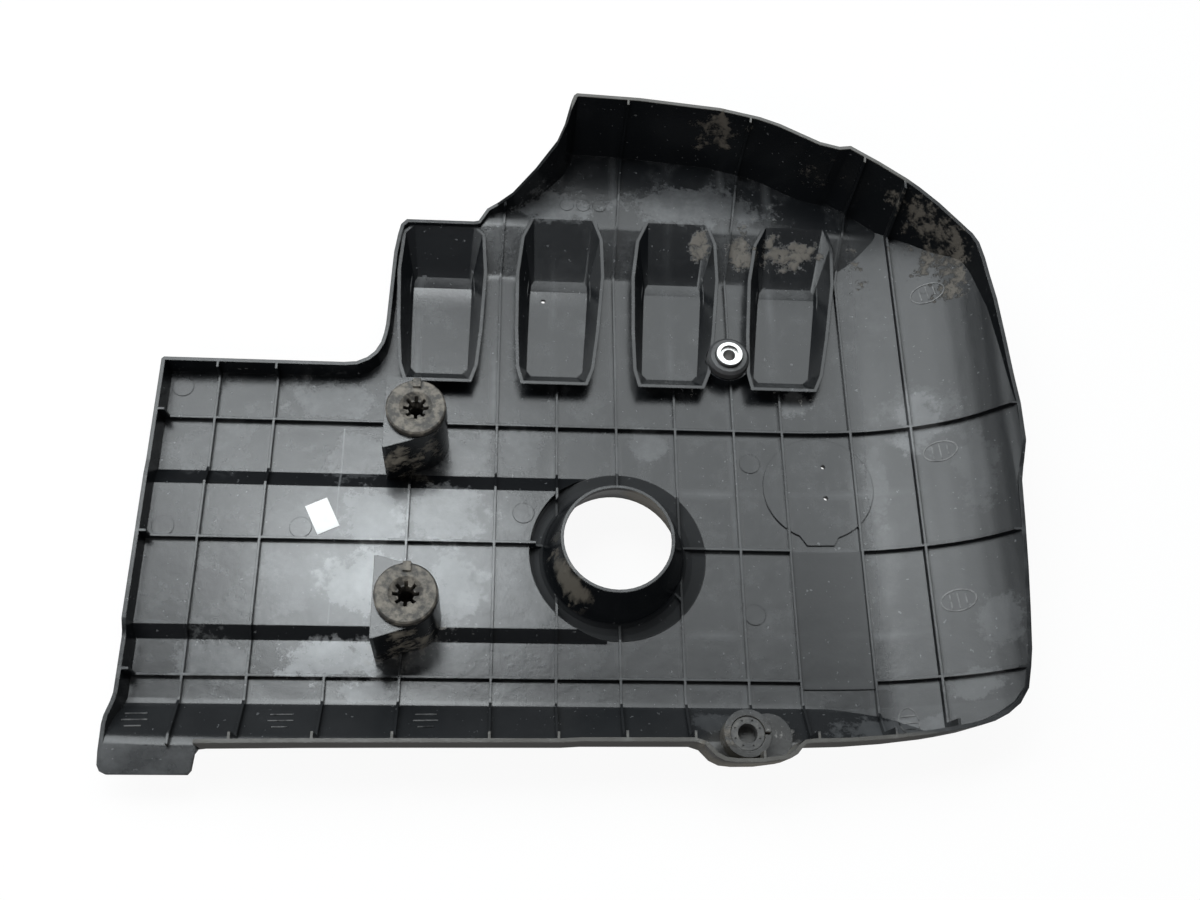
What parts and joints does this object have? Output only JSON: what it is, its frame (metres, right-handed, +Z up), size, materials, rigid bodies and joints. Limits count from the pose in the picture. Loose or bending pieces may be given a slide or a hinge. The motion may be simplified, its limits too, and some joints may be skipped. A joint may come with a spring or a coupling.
{
  "type": "engine cover",
  "caption": "Black moulded plastic engine cover, seen from its ribbed engine side, with filler collar, rubber ball-stud sockets, centre bush and edge grommet.",
  "frame": {"origin": "centre of the plan box, at the level of the lowest points, which are the undersides of the four pockets", "axes": "the cover lies on its show face as pictured, engine side up: +X along the cover towards its curved end, +Y towards the tall wall, +Z up out of the hollow. Turn it over about X to fit it on an engine."},
  "size_m": [0.5685, 0.4668, 0.0765],
  "materials": {
    "cover_plastic": "fine grained, semi-gloss, dusty",
    "socket_rubber": "dusty",
    "collar_rubber": "satin",
    "sleeve_steel": "bright turned",
    "grommet_rubber": "dusty",
    "label_paper": "matt paper"
  },
  "bodies": {
    "root": {"cover_shell": "cover_plastic", "socket_rubber_a": "socket_rubber", "socket_rubber_b": "socket_rubber", "bush_collar": "collar_rubber", "bush_sleeve": "sleeve_steel", "edge_grommet": "grommet_rubber", "paper_label": "label_paper"}
  },
  "joints": []
}
